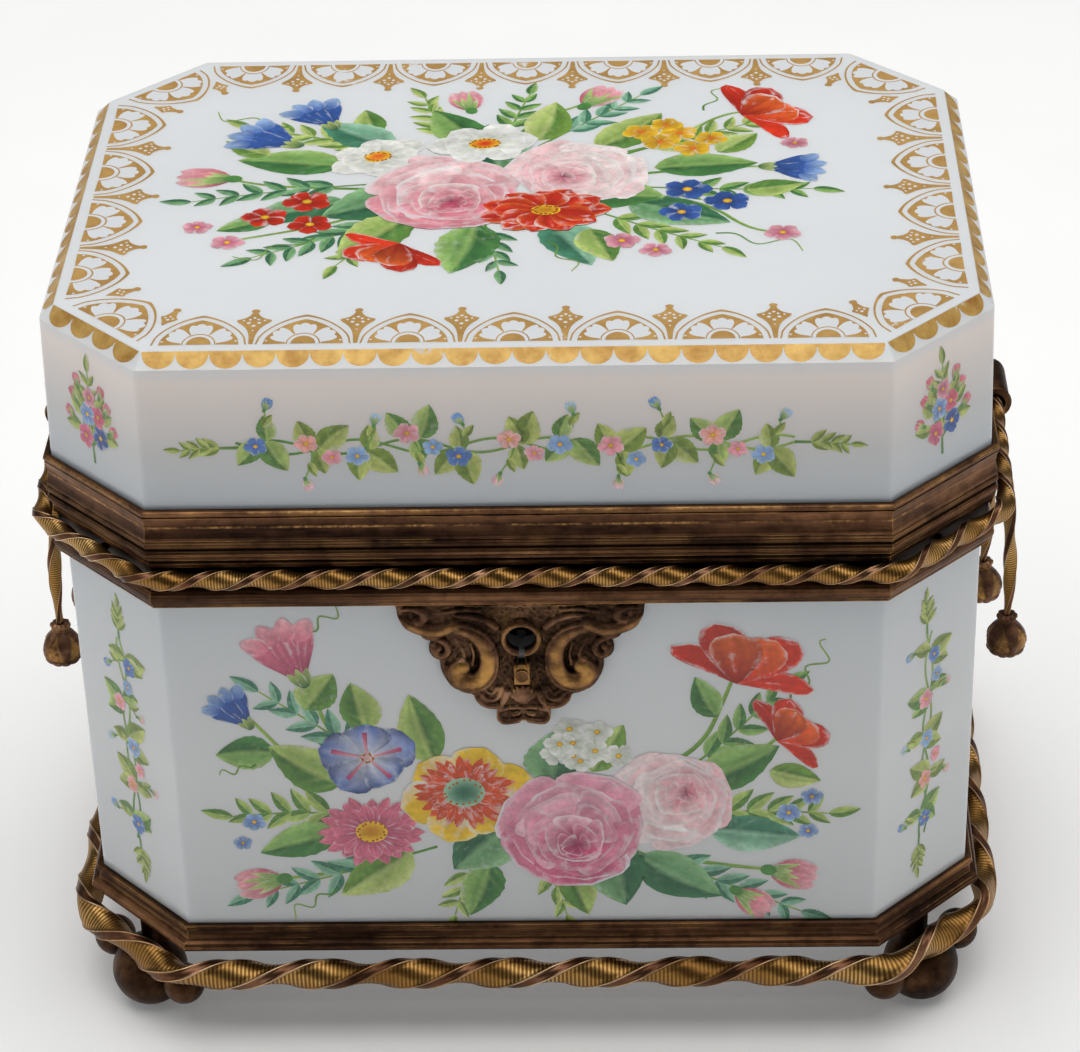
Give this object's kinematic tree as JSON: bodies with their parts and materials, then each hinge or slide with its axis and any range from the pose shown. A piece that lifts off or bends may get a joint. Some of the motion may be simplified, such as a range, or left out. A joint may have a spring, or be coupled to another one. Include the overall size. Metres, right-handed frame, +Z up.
{
  "type": "hinged glass casket",
  "caption": "Hinged casket of opal glass with cut corners, held in moulded brass bands, with rope mounts, tassels, a lock plate and ball feet.",
  "frame": {"origin": "middle of the box at table level", "axes": "+X to the right of someone facing the lock plate, +Y towards the hinge at the back, +Z up"},
  "size_m": [0.1604, 0.1112, 0.1222],
  "materials": {
    "opal_glass": "polished milky white glass, opaque",
    "old_brass": "cast brass with a dark brown patina",
    "gilt_brass": "worn gilding over cast brass",
    "lock_steel": "filed steel"
  },
  "bodies": {
    "base": {"base_glass": "opal_glass", "rim_band": "old_brass", "foot_band": "old_brass", "skirt_rope": "gilt_brass", "waist_rope": "gilt_brass", "rope_studs": "old_brass", "rope_cap_left": "old_brass", "rope_cap_right": "old_brass", "tassel_cord_left_front": "gilt_brass", "tassel_cord_left_back": "gilt_brass", "tassel_cord_right_front": "gilt_brass", "tassel_cord_right_back": "gilt_brass", "tassel_left_front": "gilt_brass", "tassel_left_back": "gilt_brass", "tassel_right_front": "gilt_brass", "tassel_right_back": "gilt_brass", "foot_front_left": "old_brass", "foot_front_right": "old_brass", "foot_back_left": "old_brass", "foot_back_right": "old_brass", "foot_screws": "lock_steel", "lock_plate": "gilt_brass", "lock_plate_screw": "gilt_brass", "lock_case": "old_brass", "lock_screws": "lock_steel", "lock_key_pin": "lock_steel", "hinge_base_leaf": "old_brass", "hinge_base_rivets": "gilt_brass", "hinge_pin": "lock_steel"},
    "lid": {"lid_glass": "opal_glass", "lid_band": "old_brass", "lid_catch": "old_brass", "lid_catch_rivets": "gilt_brass", "hinge_lid_leaf": "old_brass", "hinge_lid_rivets": "gilt_brass"},
    "bolt": {"lock_bolt": "lock_steel"}
  },
  "joints": [
    {"name": "lid_hinge", "type": "hinge", "parent": "base", "child": "lid", "pos_m": [0, 0.0536, 0.08845], "axis": [-1, 0, 0], "range_deg": [0, 100]},
    {"name": "bolt_slide", "type": "slide", "parent": "base", "child": "bolt", "axis": [1, 0, 0], "range_m": [0, 0.005]}
  ]
}
